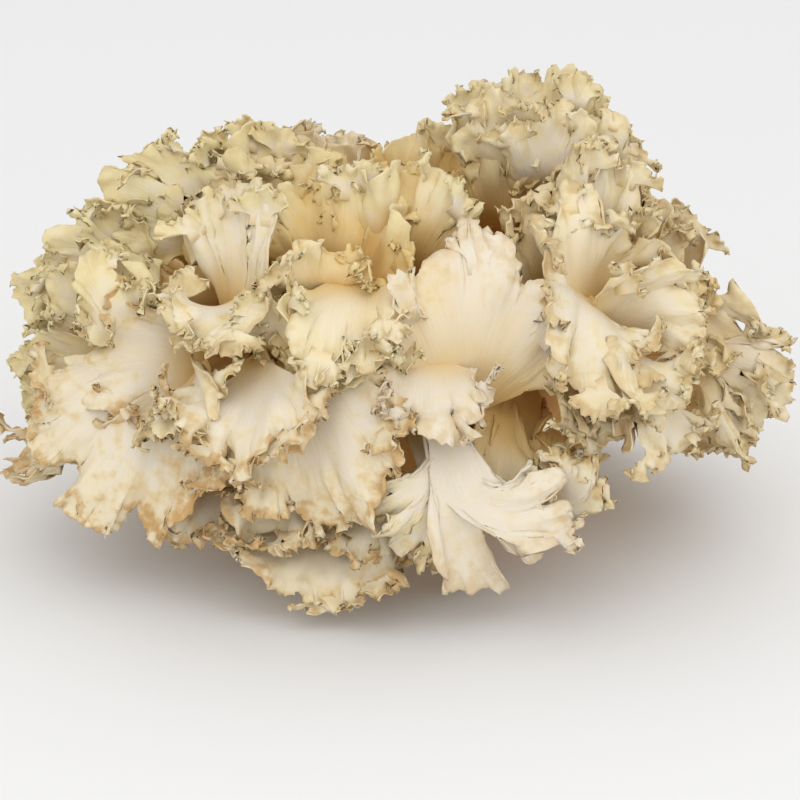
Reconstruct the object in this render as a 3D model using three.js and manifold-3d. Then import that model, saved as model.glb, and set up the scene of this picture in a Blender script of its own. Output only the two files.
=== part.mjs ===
// A dried cauliflower mushroom: one head of thin, ruffled fronds on a short cut stem.
//
// Millimetres, +Z up. The origin is the middle of the flat cut at the foot of the stem. +X is to
// the right and -Y towards the viewer. The fronds are flattened branches: each leaves the heart
// of the head as a strap, widens into a fan, and ends in a waved margin. They are one growth, so
// they are one solid.

import * as THREE from "three";
import { mergeVertices } from "three/addons/utils/BufferGeometryUtils.js";
import Module from "manifold-3d";

// Stem and heart: [radius, height] up the outline, from the middle of the cut to the top.
const STEM_OUTLINE = [
  [0, 0],
  [24, 0],
  [27, 9],
  [42, 24],
  [57, 42],
  [60, 56],
  [50, 71],
  [29, 82],
  [0, 86],
];
const HEART_SIDES = 12;
const HEART_DEPTH_SHARE = 0.72; // front to back, against left to right
const HEART_TURN = 0.1; // radians, which sets the facets clear of the straps' edges
const HEART_CENTRE = new THREE.Vector3(0, 0, 48);
const HEART_HALF = new THREE.Vector3(60, 42, 38);
const ROOT_SUNK_AT = 0.8; // share of the heart's radius that a strap reaches down to

// Fronds
const STRAP_THICKNESS = 2.6;
const MARGIN_THICKNESS = 1.2;
const STRAP_HALF_WIDTH = 4;
const STRAP_SHARE = 0.3; // length of the sunk strap along a frond, against its fan
const FAN_HALF_ANGLE = 1.75; // radians from the midrib round to the end of the margin
const MARGIN_DROP = 0.5; // how far the ends of the margin fall back, against the frond's length
const FAN_FLARE = 1.2;
const EDGE_LIFT = 0.15; // how far the sides of a fan rise towards its outer face
const RUFFLE_SHARE = 0.26; // height of the large waves, against half the frond's width
const MM_PER_WAVE = 8; // half width that makes one more large wave
const FRILL_HEIGHT = 1.7;
const FRILLS_PER_WAVE = 2.6;
const FLOOR_CLEARANCE = 1.5; // fronds stay this far above the surface
const FLOOR_SOFTNESS = 3;

// Rows of points across a fan: [share of the way to the margin, segments across].
const WIDE_ROWS = [
  [-STRAP_SHARE, 1],
  [0, 1],
  [0.42, 2],
  [0.74, 4],
  [1, 12],
];
const MIDDLE_ROWS = [
  [-STRAP_SHARE, 1],
  [0, 1],
  [0.55, 4],
  [1, 8],
];
const NARROW_ROWS = [
  [-STRAP_SHARE, 1],
  [0, 1],
  [0.6, 3],
  [1, 6],
];
const WIDE_FROM = 20;
const MIDDLE_FROM = 15;

// Every frond: name, root, knee, tip, half width, and what sets it apart. A frond leaves its root
// towards its knee and arrives at its tip from there. face is the [turn, tilt] in degrees that
// its outer side looks: a turn of 0 is to the front and 90 to the right.
const FRONDS = [
  // upper left
  ["scallop_outer", [-49, -10, 82], [-64, -20, 103], [-82, -14, 102], 15,
    { cleft: 0.35, ruffle: 2.5, frill: 0.9, face: [-10, 30] }],
  ["scallop_inner", [-52, -4, 85], [-61, -8, 102], [-70, -10, 106], 14,
    { ruffle: 2.5, frill: 0.9, face: [-10, 20] }],
  ["crown", [-37, 2, 75], [-39, -16, 99], [-36, 2, 114], 23,
    { cleft: 0.2, ruffle: 5, drop: 0.35, face: [0, 25] }],
  ["crown_left", [-43, -6, 84], [-52, -20, 102], [-56, -8, 108], 15, { face: [-10, 25] }],
  ["shoulder", [-67, -12, 68], [-81, -22, 87], [-98, -18, 88], 15,
    { cleft: 0.35, face: [-30, 20] }],
  ["left_end", [-78, -10, 59], [-92, -20, 71], [-108, -18, 73], 13,
    { cleft: 0.4, face: [-30, 20] }],
  ["left_end_behind", [-73, 20, 51], [-91, 28, 60], [-105, 20, 68], 15,
    { cleft: 0.35, face: [-20, 30] }],
  ["hollow_right", [-44, -38, 65], [-43, -52, 91], [-47, -30, 110], 16,
    { drop: 0.25, cleft: 0.35, flare: 2.6, strap: 5 }],
  ["hollow_left", [-66, -42, 64], [-76, -52, 82], [-80, -38, 92], 11, { face: [10, 10] }],
  ["yellow_frills", [-73, -25, 60], [-82, -40, 77], [-86, -32, 90], 16,
    { lobes: 4, cleft: 0.35, frill: 2.2, face: [-20, 15] }],
  ["left_leaf", [-69, -24, 43], [-91, -34, 56], [-106, -28, 53], 15,
    { lobes: 2, face: [-30, 10] }],

  // upper middle
  ["middle_sheet", [-18, -25, 69], [-19, -44, 94], [-22, -22, 107], 25,
    { cleft: 0.2, ruffle: 5 }],
  ["middle_sheet_right", [-1, -28, 74], [1, -44, 101], [8, -26, 113], 20,
    { cleft: 0.2, ruffle: 4 }],
  ["small_frills", [-30, -48, 60], [-30, -64, 78], [-34, -62, 88], 14,
    { lobes: 4, cleft: 0.35, frill: 2 }],
  ["folded_sheet", [0, -38, 82], [-3, -66, 78], [-7, -72, 63], 17, { frill: 2 }],
  ["ridge", [4, 10, 76], [9, 2, 96], [12, 12, 111], 20,
    { lobes: 4, cleft: 0.25, face: [0, 20] }],
  ["ridge_left", [-9, 8, 78], [-10, 0, 90], [-12, 8, 100], 14, { face: [0, 20] }],

  // lower left
  ["great_fan", [-57, -38, 65], [-70, -66, 53], [-84, -58, 21], 28,
    { cleft: 0.12, ruffle: 3, waves: 2.5, flare: 0.9, lift: 0.1, face: [-20, 15] }],
  ["left_finger", [-71, -38, 47], [-85, -40, 40], [-110, -22, 25], 11,
    { drop: 0.25, lobes: 4, cleft: 0.35, waves: 2, face: [-10, 50] }],
  ["left_sheet", [-51, -42, 61], [-68, -60, 69], [-92, -42, 55], 17,
    { cleft: 0.25, ruffle: 3, face: [-25, 20] }],
  ["frilled_band", [-38, -55, 66], [-42, -82, 62], [-48, -82, 48], 22,
    { lobes: 4, cleft: 0.25, ruffle: 5, frill: 2 }],
  ["bright_sheet", [-28, -52, 69], [-24, -82, 58], [-13, -80, 29], 24,
    { cleft: 0.15, ruffle: 4, waves: 2, flare: 0.9 }],
  ["front_fan", [-18, -48, 25], [-23, -74, 18], [-27, -84, 10], 25,
    { lobes: 4, cleft: 0.12, ruffle: 3, waves: 2.5, flare: 0.8 }],
  ["ochre_fan", [-27, -50, 39], [-33, -74, 33], [-37, -74, 20], 15, { lobes: 4, cleft: 0.25 }],
  ["front_frills", [-8, -52, 39], [-5, -74, 26], [-6, -74, 17], 16,
    { lobes: 4, cleft: 0.25, frill: 2 }],
  ["front_left_tuft", [-45, -42, 31], [-54, -62, 27], [-60, -62, 18], 11, {}],
  ["front_finger", [19, -45, 18], [19, -60, 13], [18, -62, 4], 7, {}],

  // middle
  ["great_sheet", [13, -48, 46], [19, -78, 72], [18, -48, 103], 25,
    { cleft: 0.15, ruffle: 3, waves: 1.5, flare: 1.8, lift: 0.1, face: [5, 10] }],
  ["antler_palm", [9, -60, 62], [12, -92, 44], [32, -80, 14], 16,
    { drop: 0.15, lobes: 2, ruffle: 2, waves: 1.5, frill: 0.8, flare: 2.2, strap: 5 }],
  ["antler_arm", [10, -74, 46], [24, -92, 30], [45, -78, 41], 11,
    { drop: 0.15, lobes: 4, cleft: 0.25, ruffle: 2, waves: 2, frill: 0.8, flare: 2.6, strap: 5,
      face: [10, 20] }],
  ["middle_frills", [7, -55, 70], [8, -80, 67], [8, -82, 55], 14, { frill: 2 }],
  ["deep_strap", [35, -42, 53], [29, -60, 43], [34, -60, 27], 10, { lobes: 2 }],

  // tower
  ["tower", [32, 2, 68], [36, -14, 104], [38, 2, 132], 23,
    { lobes: 4, cleft: 0.12, ruffle: 4, flare: 1, drop: 0.22, face: [0, 12] }],
  ["tower_right", [50, 8, 70], [52, 0, 98], [51, 6, 112], 15,
    { cleft: 0.25, face: [12, 15] }],
  ["tower_side", [54, 14, 70], [61, 8, 85], [65, 8, 97], 15, { cleft: 0.35, face: [18, 15] }],

  // right
  ["right_frills", [50, -35, 70], [51, -50, 93], [53, -30, 105], 20, { lobes: 4, frill: 2.2 }],
  ["right_frills_inner", [39, -30, 72], [38, -44, 94], [40, -26, 105], 15, { frill: 2 }],
  ["right_shoulder", [59, -8, 67], [68, -18, 85], [77, -10, 93], 18,
    { lobes: 4, cleft: 0.35, face: [25, 15] }],
  ["right_shoulder_low", [64, -15, 62], [74, -30, 77], [80, -26, 76], 12,
    { cleft: 0.35, face: [25, 10] }],
  ["dome", [47, -38, 81], [52, -72, 85], [49, -72, 61], 17, { ruffle: 4 }],
  ["curled_lobe", [57, -32, 60], [66, -54, 85], [81, -46, 72], 17,
    { cleft: 0.25, ruffle: 3, face: [20, 15] }],
  ["branch_top", [75, -12, 71], [87, -26, 67], [96, -22, 55], 11,
    { drop: 0.25, cleft: 0.5, flare: 2.4, face: [20, 10] }],
  ["branch_middle", [81, -18, 56], [95, -30, 56], [105, -24, 47], 12,
    { drop: 0.25, lobes: 4, cleft: 0.5, flare: 1.8, face: [20, 10] }],
  ["branch_low", [81, -18, 56], [92, -32, 48], [103, -24, 34], 12,
    { drop: 0.25, cleft: 0.5, flare: 1.8, face: [20, 10] }],
  ["hanging_frills", [65, -38, 59], [69, -62, 55], [72, -60, 38], 18, { lobes: 4, frill: 2 }],
  ["hanging_frills_inner", [48, -40, 57], [53, -62, 56], [58, -62, 48], 13,
    { cleft: 0.35, frill: 2 }],
  ["shaded_cup", [76, -8, 47], [88, -12, 40], [96, -16, 26], 18,
    { cleft: 0.2, ruffle: 3, face: [20, -5] }],
  ["low_flap", [40, -38, 44], [43, -52, 42], [46, -52, 38], 9, {}],
];

// Fronds of the far side, in tiers round its half turn. The root, knee and tip of a tier are
// [to the side, to the back, height], and wide is half the width of its fronds.
const FAR_TIERS = [
  { count: 5, first: 10, step: 40, wide: 24, tilt: 45,
    root: [48, 30, 40], knee: [82, 66, 46], tip: [92, 76, 17] },
  { count: 5, first: 22, step: 36, wide: 24, tilt: -35,
    root: [48, 30, 52], knee: [82, 64, 58], tip: [88, 70, 86] },
  { count: 4, first: 26, step: 42, wide: 24, tilt: -10,
    root: [36, 20, 66], knee: [56, 42, 84], tip: [52, 44, 99] },
  { count: 4, first: 22, step: 44, wide: 17, tilt: 0,
    root: [24, 14, 78], knee: [34, 27, 92], tip: [28, 24, 102] },
];
const FAR_WANDER = 6; // how far a knee or a tip strays from its tier

// Frilled fronds on the near side's crest, in front of the ones above.
const CREST = [
  ["tower_cap_left", [28, -10, 102], [27, -26, 118], [26, -16, 130], 11, { face: [-10, 35] }],
  ["tower_cap", [40, -12, 100], [40, -28, 116], [40, -16, 127], 13, { face: [0, 35] }],
  ["tower_cap_right", [53, -6, 98], [55, -20, 110], [55, -8, 121], 12, { face: [15, 35] }],
  ["tower_front", [48, -14, 76], [52, -34, 98], [54, -22, 116], 16, { lobes: 4, face: [10, 20] }],
  ["crown_front", [-34, -8, 80], [-32, -26, 96], [-30, -12, 109], 17, { lobes: 4, face: [0, 30] }],
  ["middle_front", [-20, -38, 78], [-22, -56, 86], [-22, -46, 98], 15, { face: [0, 30] }],
  ["ridge_front", [4, -4, 84], [2, -18, 96], [1, -8, 107], 15, { face: [0, 30] }],
  ["ridge_inner", [-16, -8, 82], [-18, -24, 92], [-18, -14, 101], 14, { face: [0, 40] }],
];

const USUAL_LOBES = 3;
const USUAL_CLEFT = 0.3;
const FIRST_SEED = 1;
const SEED_STEP = 1.37;
const SMALLEST_STEP = 0.002; // points closer than this are one point
const CLEANING_PASSES = 2;
const FLESH_COLOUR = 0xe8dcc0;

const wasm = await Module();
wasm.setup();

// A smooth wandering value between about -1 and 1, the same each time for the same seed.
function wander(t, seed) {
  return (
    0.5 * Math.sin(1.7 * t + 2.1 * seed) +
    0.3 * Math.sin(2.9 * t + 4.3 * seed) +
    0.2 * Math.sin(4.7 * t + 1.3 * seed)
  );
}

function smoothStep(x, low, high) {
  const t = Math.min(Math.max((x - low) / (high - low), 0), 1);
  return t * t * (3 - 2 * t);
}

function facingFrom(root, knee, tip, face) {
  if (face) {
    const [turn, tilt] = face.map(THREE.MathUtils.degToRad);
    const level = Math.cos(tilt);
    return new THREE.Vector3(Math.sin(turn) * level, -Math.cos(turn) * level, Math.sin(tilt));
  }
  const middle = root.clone().addScaledVector(knee, 2).add(tip).divideScalar(4);
  return new THREE.Vector3(0.7 * middle.x, middle.y, 0.8 * (middle.z - 40)).normalize();
}

// The point inside the heart that a frond's strap starts from.
function heartPoint(root) {
  const out = root.clone().sub(HEART_CENTRE);
  const level = out.clone().divide(HEART_HALF).length();
  const share = Math.min(1, ROOT_SUNK_AT / level);
  return HEART_CENTRE.clone().addScaledVector(out, share);
}

function frondFrom([name, root, knee, tip, halfWidth, given], index) {
  const points = [root, knee, tip].map((p) => new THREE.Vector3(...p));
  const frond = {
    name,
    root: points[0],
    knee: points[1],
    tip: points[2],
    halfWidth,
    lobes: USUAL_LOBES,
    cleft: USUAL_CLEFT,
    strap: STRAP_HALF_WIDTH,
    flare: FAN_FLARE,
    drop: MARGIN_DROP,
    lift: EDGE_LIFT,
    curl: 0,
    waves: Math.max(1.5, halfWidth / MM_PER_WAVE),
    ruffle: RUFFLE_SHARE * halfWidth,
    frill: FRILL_HEIGHT,
    seed: FIRST_SEED + SEED_STEP * index,
    ...given,
  };
  frond.facing = facingFrom(...points, given.face);
  frond.heart = heartPoint(frond.root);
  return frond;
}

// The middle of a frond's sheet at u, from -1 to 1 across it, and v, from the strap's sunk end
// at -STRAP_SHARE through the root at 0 to the margin at 1.
function sheetPoint(f, u, v) {
  const fan = Math.max(v, 0);
  const strap = Math.min(1 + v / STRAP_SHARE, 1);
  const across = (u + 1) / 2;
  const turn = FAN_HALF_ANGLE * u;

  // outline: a fan cut into lobes
  const lobe = Math.PI * across * f.lobes + 0.5 * wander(1.3 * u, f.seed + 5);
  const notch = (1 - Math.abs(Math.sin(lobe))) ** 2.5;
  let reach = 1 - f.drop * (1 - Math.cos(turn));
  reach *= 1 - f.cleft * notch * fan * fan;
  reach *= 1 + 0.07 * wander(4 * u, 1.7 * f.seed) * fan;
  const s = fan * reach;
  const width = f.strap + (f.halfWidth - f.strap) * fan ** f.flare;
  const aside = width * Math.sin(turn);

  // midrib: from the heart to the root, and on through the knee's pull to the tip
  const first = f.knee.clone().sub(f.root);
  const last = f.tip.clone().sub(f.knee);
  const bend = f.root.clone().addScaledVector(first, -STRAP_SHARE);
  const midrib = f.root
    .clone()
    .multiplyScalar((1 - s) ** 2 - 1 + strap * strap)
    .addScaledVector(f.knee, 2 * s * (1 - s))
    .addScaledVector(f.tip, s * s)
    .addScaledVector(f.heart, (1 - strap) ** 2)
    .addScaledVector(bend, 2 * strap * (1 - strap));
  const along = first
    .clone()
    .multiplyScalar(1 - s)
    .addScaledVector(last, s)
    .multiplyScalar(strap)
    .addScaledVector(bend.clone().sub(f.heart), 1 - strap)
    .normalize();
  const side = f.facing.clone().cross(along).normalize();
  const outwards = along.clone().cross(side);

  // large waves, growing towards the margin
  const phase =
    2 * Math.PI * f.waves * across +
    2.3 * f.seed +
    0.9 * wander(1.6 * u, f.seed) +
    0.8 * wander(2.2 * fan, 1.3 * f.seed);
  const rise = fan ** 2.2;
  const swell = 0.8 + 0.35 * wander(2.1 * u, 3.1 * f.seed);
  const out = f.ruffle * rise * swell * Math.sin(phase);
  const sway = -0.45 * rise * (width / (f.waves * Math.PI)) * Math.sin(2 * phase);
  const lift = (f.lift * aside * aside) / f.halfWidth;
  const curl = f.curl * smoothStep(fan, 0.45, 1.1) ** 1.5;
  const pull = -0.55 * Math.abs(curl) * smoothStep(fan, 0.7, 1.1);

  // frills on the margin
  const frills = FRILLS_PER_WAVE * f.waves;
  const frillPhase =
    2 * Math.PI * frills * across + 4.1 * f.seed + 1.6 * wander(3.1 * u, 2.1 * f.seed);
  const frill = f.frill * smoothStep(fan, 0.42, 1.08) ** 1.4 * Math.sin(frillPhase);

  const point = midrib
    .addScaledVector(side, aside + sway)
    .addScaledVector(outwards, out + lift + curl + frill)
    .addScaledVector(along, pull);
  const above = (point.z - FLOOR_CLEARANCE) / FLOOR_SOFTNESS;
  if (v >= 0 && above < 20)
    point.z = FLOOR_CLEARANCE + FLOOR_SOFTNESS * Math.log1p(Math.exp(above));
  return point;
}

function rowsFor(f) {
  if (f.halfWidth >= WIDE_FROM) return WIDE_ROWS;
  return f.halfWidth >= MIDDLE_FROM ? MIDDLE_ROWS : NARROW_ROWS;
}

// Triangles of one face between two rows, as indices into the face's own points. The next row
// has a whole number of times as many segments.
function stripBetween(startA, segmentsA, startB, segmentsB) {
  const triangles = [];
  const ratio = segmentsB / segmentsA;
  for (let i = 0; i < segmentsA; i++) {
    const a = startA + i;
    const b = startB + i * ratio;
    const middle = Math.ceil(ratio / 2);
    for (let j = 0; j < middle; j++) triangles.push([a, b + j + 1, b + j]);
    triangles.push([a, a + 1, b + middle]);
    for (let j = middle; j < ratio; j++) triangles.push([a + 1, b + j + 1, b + j]);
  }
  return triangles;
}

// Which way each point of a sheet looks: the mean of the triangles that meet there.
function pointNormals(points, triangles) {
  const normals = points.map(() => new THREE.Vector3());
  for (const corners of triangles) {
    const [a, b, c] = corners.map((i) => points[i]);
    const normal = b.clone().sub(a).cross(c.clone().sub(a)).normalize();
    for (const i of corners) normals[i].add(normal);
  }
  return normals.map((normal) => normal.normalize());
}

// A frond as a closed sheet: two faces split alike, joined round their edge.
function frondSolid(f) {
  const rows = rowsFor(f);
  const points = [];
  const thickness = [];
  const starts = [];
  for (const [v, segments] of rows) {
    starts.push(points.length);
    for (let i = 0; i <= segments; i++) {
      points.push(sheetPoint(f, -1 + (2 * i) / segments, v));
      thickness.push(
        THREE.MathUtils.lerp(STRAP_THICKNESS, MARGIN_THICKNESS, smoothStep(v, 0, 1)),
      );
    }
  }
  const face = rows
    .slice(1)
    .flatMap(([, segments], r) => stripBetween(starts[r], rows[r][1], starts[r + 1], segments));
  const normals = pointNormals(points, face);
  const offset = (share) => points.flatMap((point, i) => {
    return point.clone().addScaledVector(normals[i], share * thickness[i]).toArray();
  });

  const shift = points.length;
  const triangles = face.flatMap(([a, b, c]) => [a, b, c, a + shift, c + shift, b + shift]);
  const wall = (a, b) => triangles.push(b, a, a + shift, b, a + shift, b + shift);
  const last = rows.length - 1;
  for (let i = 0; i < rows[0][1]; i++) wall(i, i + 1);
  for (let r = 1; r <= last; r++) {
    wall(starts[r], starts[r - 1]);
    wall(starts[r - 1] + rows[r - 1][1], starts[r] + rows[r][1]);
  }
  for (let i = 0; i < rows[last][1]; i++) wall(starts[last] + i + 1, starts[last] + i);
  return solidFrom([...offset(0.5), ...offset(-0.5)], triangles);
}

function solidFrom(positions, triangles) {
  return new wasm.Manifold(
    new wasm.Mesh({
      numProp: 3,
      vertProperties: new Float32Array(positions),
      triVerts: new Uint32Array(triangles),
    }),
  );
}

function solidOf(geometry, mergedWithin) {
  geometry.deleteAttribute("normal");
  geometry.deleteAttribute("uv");
  const merged = mergeVertices(geometry, mergedWithin);
  return solidFrom(merged.attributes.position.array, merged.index.array);
}

// The short stem, round at the cut, widening into the heart of the head, which is less deep
// than it is wide.
function stemAndHeart() {
  const outline = STEM_OUTLINE.map(([radius, height]) => new THREE.Vector2(radius, height));
  const geometry = new THREE.LatheGeometry(outline, HEART_SIDES);
  geometry.rotateX(Math.PI / 2);
  geometry.rotateZ(HEART_TURN);
  const position = geometry.attributes.position;
  for (let i = 0; i < position.count; i++) {
    const share = THREE.MathUtils.lerp(1, HEART_DEPTH_SHARE, smoothStep(position.getZ(i), 0, 40));
    position.setY(i, position.getY(i) * share);
  }
  return solidOf(geometry);
}

function farFronds() {
  const rows = [];
  for (const { count, first, step, wide, tilt, root, knee, tip } of FAR_TIERS)
    for (let i = 0; i < count; i++) {
      const stray = FAR_WANDER * wander(2 * i, rows.length);
      const place = first + step * i + stray;
      const turn = THREE.MathUtils.degToRad(place);
      const at = ([side, back, height], more) => [
        side * Math.cos(turn),
        back * Math.sin(turn),
        height + more,
      ];
      const name = "far_" + (rows.length + 1);
      const points = [at(root, 0), at(knee, stray / 2), at(tip, stray)];
      rows.push([name, ...points, wide, { lobes: 4, face: [place + 90, tilt] }]);
    }
  return rows;
}

// The largest closed surface of a solid, without the scraps and the small hollows that ruffles
// seal off where they cross.
function largestBody(solid) {
  return solid.decompose().sort((a, b) => b.volume() - a.volume())[0];
}

function head() {
  let joined = stemAndHeart();
  for (const [index, row] of [...FRONDS, ...farFronds(), ...CREST].entries())
    joined = joined.add(frondSolid(frondFrom(row, index)));
  joined = largestBody(joined);
  for (let pass = 0; pass < CLEANING_PASSES; pass++)
    joined = largestBody(solidOf(geometryOf(joined), SMALLEST_STEP));
  return joined;
}

function geometryOf(solid) {
  const { vertProperties, triVerts, numProp } = solid.getMesh();
  const positions = new Float32Array((vertProperties.length / numProp) * 3);
  for (let i = 0; i * numProp < vertProperties.length; i++)
    positions.set(vertProperties.subarray(i * numProp, i * numProp + 3), i * 3);
  const geometry = new THREE.BufferGeometry();
  geometry.setAttribute("position", new THREE.BufferAttribute(positions, 3));
  geometry.setIndex(new THREE.BufferAttribute(new Uint32Array(triVerts), 1));
  geometry.computeVertexNormals();
  return geometry;
}

const mushroom = new THREE.Group();
const flesh = new THREE.MeshStandardMaterial({ color: FLESH_COLOUR, roughness: 0.75, metalness: 0 });
const mushroomHead = new THREE.Mesh(geometryOf(head()), flesh);
mushroomHead.name = "mushroom_head";
mushroom.add(mushroomHead);

export default mushroom;
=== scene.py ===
# %% [markdown]
# # A dried cauliflower mushroom
#
# The real thing is one growth: a short stem that branches into dozens of thin, flattened
# fronds. Each frond leaves the heart of the head as a smooth strap, widens into a fan and ends
# in a waved, crisped margin. This lesson grows every frond from one Geometry Nodes tree, fed
# with the frond's own root, knee and tip, and then dresses the flesh with one material.

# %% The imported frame
import math

import bpy
import numpy as np
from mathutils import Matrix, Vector


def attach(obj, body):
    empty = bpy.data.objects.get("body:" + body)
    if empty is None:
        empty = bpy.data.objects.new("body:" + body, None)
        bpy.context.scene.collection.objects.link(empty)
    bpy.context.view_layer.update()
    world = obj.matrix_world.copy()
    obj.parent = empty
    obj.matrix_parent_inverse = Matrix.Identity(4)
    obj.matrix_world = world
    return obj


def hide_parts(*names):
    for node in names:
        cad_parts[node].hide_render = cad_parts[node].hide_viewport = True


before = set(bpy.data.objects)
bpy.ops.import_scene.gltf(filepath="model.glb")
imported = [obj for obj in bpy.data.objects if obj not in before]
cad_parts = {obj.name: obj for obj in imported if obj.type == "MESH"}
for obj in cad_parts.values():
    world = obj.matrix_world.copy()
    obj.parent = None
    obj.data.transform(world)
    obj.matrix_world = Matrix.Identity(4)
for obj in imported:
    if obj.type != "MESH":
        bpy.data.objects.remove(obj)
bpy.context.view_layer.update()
MM = 0.001  # Blender works in metres, and the sizes below are in millimetres
HEAD = "mushroom_head"

# %% [markdown]
# ## Camera, light and floor
#
# The camera comes first, because every later decision is judged through it. It looks down at
# the head by 22 degrees from 850 mm away. That distance gives the perspective of a short
# telephoto lens, as used for a product photograph. The lens follows from how much has to fit
# in the square picture.

# %% Camera
VIEW_DISTANCE = 850
VIEW_ELEVATION = math.radians(22)
VIEW_TARGET = Vector((0, 0, 33.5))
VIEW_WIDTH = 229.3  # millimetres across the picture at the target
SENSOR_WIDTH = 36

camera = bpy.data.objects.new("camera", bpy.data.cameras.new("camera"))
bpy.context.scene.collection.objects.link(camera)
bpy.context.scene.camera = camera
towards_camera = Vector((0, -math.cos(VIEW_ELEVATION), math.sin(VIEW_ELEVATION)))
camera.location = (VIEW_TARGET + VIEW_DISTANCE * towards_camera) * MM
camera.rotation_euler = (-towards_camera).to_track_quat("-Z", "Y").to_euler()
camera.data.sensor_width = SENSOR_WIDTH
camera.data.lens = SENSOR_WIDTH * VIEW_DISTANCE / VIEW_WIDTH
print("lens:", round(camera.data.lens), "mm")

# %% [markdown]
# Soft light comes from a large lamp above the left shoulder of the camera, a weaker one on the
# right and a pale surround. Thin ruffled sheets throw many small shadows. Large lamps keep
# those shadows soft, so the folds read as shapes and not as noise.

# %% Light and floor
FLOOR_HALF = 1.6  # metres
FLOOR_COLOUR = (0.82, 0.82, 0.82, 1)
FLOOR_ROUGHNESS = 0.8
LAMPS = [  # place in metres, size in metres, watts
    ((-0.15, -0.75, 0.8), 0.9, 2.0),
    ((0.6, -0.45, 0.5), 0.5, 0.6),
]
SURROUND = 0.97  # brightness of the pale surround


def add_lamp(place, size, watts):
    data = bpy.data.lights.new("lamp", "AREA")
    data.energy = watts
    data.size = size
    lamp = bpy.data.objects.new("lamp", data)
    lamp.location = place
    lamp.rotation_euler = (VIEW_TARGET * MM - Vector(place)).to_track_quat("-Z", "Y").to_euler()
    bpy.context.scene.collection.objects.link(lamp)


def new_material(name):
    """A material with its Principled BSDF, which carries the finish."""
    material = bpy.data.materials.new(name)
    material.use_nodes = True
    return material, material.node_tree.nodes["Principled BSDF"]


for lamp_row in LAMPS:
    add_lamp(*lamp_row)
world = bpy.data.worlds.new("surround")
world.use_nodes = True
world.node_tree.nodes["Background"].inputs["Color"].default_value = (1, 1, 1, 1)
world.node_tree.nodes["Background"].inputs["Strength"].default_value = SURROUND
bpy.context.scene.world = world
bpy.context.scene.view_settings.view_transform = "Standard"

floor_mesh = bpy.data.meshes.new("floor")
square = [(-1, -1), (1, -1), (1, 1), (-1, 1)]
corners = [(FLOOR_HALF * x, FLOOR_HALF * y, 0) for x, y in square]
floor_mesh.from_pydata(corners, [], [(0, 1, 2, 3)])
floor_material, floor_shader = new_material("pale_floor")
floor_shader.inputs["Roughness"].default_value = FLOOR_ROUGHNESS
floor_shader.inputs["Base Color"].default_value = FLOOR_COLOUR
floor_mesh.materials.append(floor_material)
floor = bpy.data.objects.new("floor", floor_mesh)
bpy.context.scene.collection.objects.link(floor)
print("lamps:", len(LAMPS), "surround:", SURROUND)

# %% [markdown]
# ## Writing formulas as nodes
#
# A frond is a formula: at each point of a flat grid it gives a place in space. Geometry Nodes
# can work that out, but a formula of a hundred nodes is hard to read as node calls. So a small
# class stands for a number or a vector at every point, and plus, times and sine on it each add
# one Math node to the tree.

# %% Fields: numbers and vectors at every point


class Field:
    """A number or a vector that a node tree works out at each point."""

    def __init__(self, tree, socket):
        self.tree = tree
        self.socket = socket

    def __add__(self, other):
        return scalar(self.tree, "ADD", self, other)

    def __sub__(self, other):
        return scalar(self.tree, "SUBTRACT", self, other)

    def __rsub__(self, other):
        return scalar(self.tree, "SUBTRACT", other, self)

    def __mul__(self, other):
        return scalar(self.tree, "MULTIPLY", self, other)

    def __truediv__(self, other):
        return scalar(self.tree, "DIVIDE", self, other)

    def __pow__(self, power):
        return scalar(self.tree, "POWER", self, power)

    def sine(self):
        return scalar(self.tree, "SINE", self)

    def cosine(self):
        return scalar(self.tree, "COSINE", self)

    def size(self):
        return scalar(self.tree, "ABSOLUTE", self)

    __radd__ = __add__
    __rmul__ = __mul__


def feed(tree, value, socket):
    """Links a field to a socket, or sets a plain value on it."""
    if isinstance(value, Field):
        tree.links.new(value.socket, socket)
    else:
        socket.default_value = value


def scalar(tree, operation, *values):
    node = tree.nodes.new("ShaderNodeMath")
    node.operation = operation
    for value, socket in zip(values, node.inputs):
        feed(tree, value, socket)
    return Field(tree, node.outputs[0])


def vector(tree, operation, *values):
    node = tree.nodes.new("ShaderNodeVectorMath")
    node.operation = operation
    for value, socket in zip(values, node.inputs):
        feed(tree, value, socket)
    return Field(tree, node.outputs[0])


def scaled(direction, factor):
    node = direction.tree.nodes.new("ShaderNodeVectorMath")
    node.operation = "SCALE"
    feed(direction.tree, direction, node.inputs[0])
    feed(direction.tree, factor, node.inputs["Scale"])
    return Field(direction.tree, node.outputs[0])


def total(first, *others):
    for other in others:
        first = vector(first.tree, "ADD", first, other)
    return first


def ramp(x, low, high):
    """A smooth step from 0 at low to 1 at high."""
    node = x.tree.nodes.new("ShaderNodeMapRange")
    node.interpolation_type = "SMOOTHSTEP"
    feed(x.tree, x, node.inputs["Value"])
    feed(x.tree, low, node.inputs["From Min"])
    feed(x.tree, high, node.inputs["From Max"])
    return Field(x.tree, node.outputs[0])


print("helpers for formulas: scalar, vector, scaled, total, ramp")

# %% [markdown]
# Nothing on a grown thing is even, so most values stray a little. A random number would jump
# from point to point. A sum of three sine waves whose rates don't fit each other wanders
# smoothly instead, and gives the same result each time for the same seed. The helper takes
# fields and plain numbers alike.

# %% A smooth wander
WANDER = ((0.5, 1.7, 2.1), (0.3, 2.9, 4.3), (0.2, 4.7, 1.3))  # share, rate, weight of the seed


def sine(x):
    return x.sine() if isinstance(x, Field) else math.sin(x)


def wander(t, seed):
    """A wandering value between -1 and 1."""
    first, *others = (share * sine(rate * t + weight * seed) for share, rate, weight in WANDER)
    return sum(others, first)


print("wander at 0, 1 and 2:", [round(wander(t, 1), 2) for t in range(3)])

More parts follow.
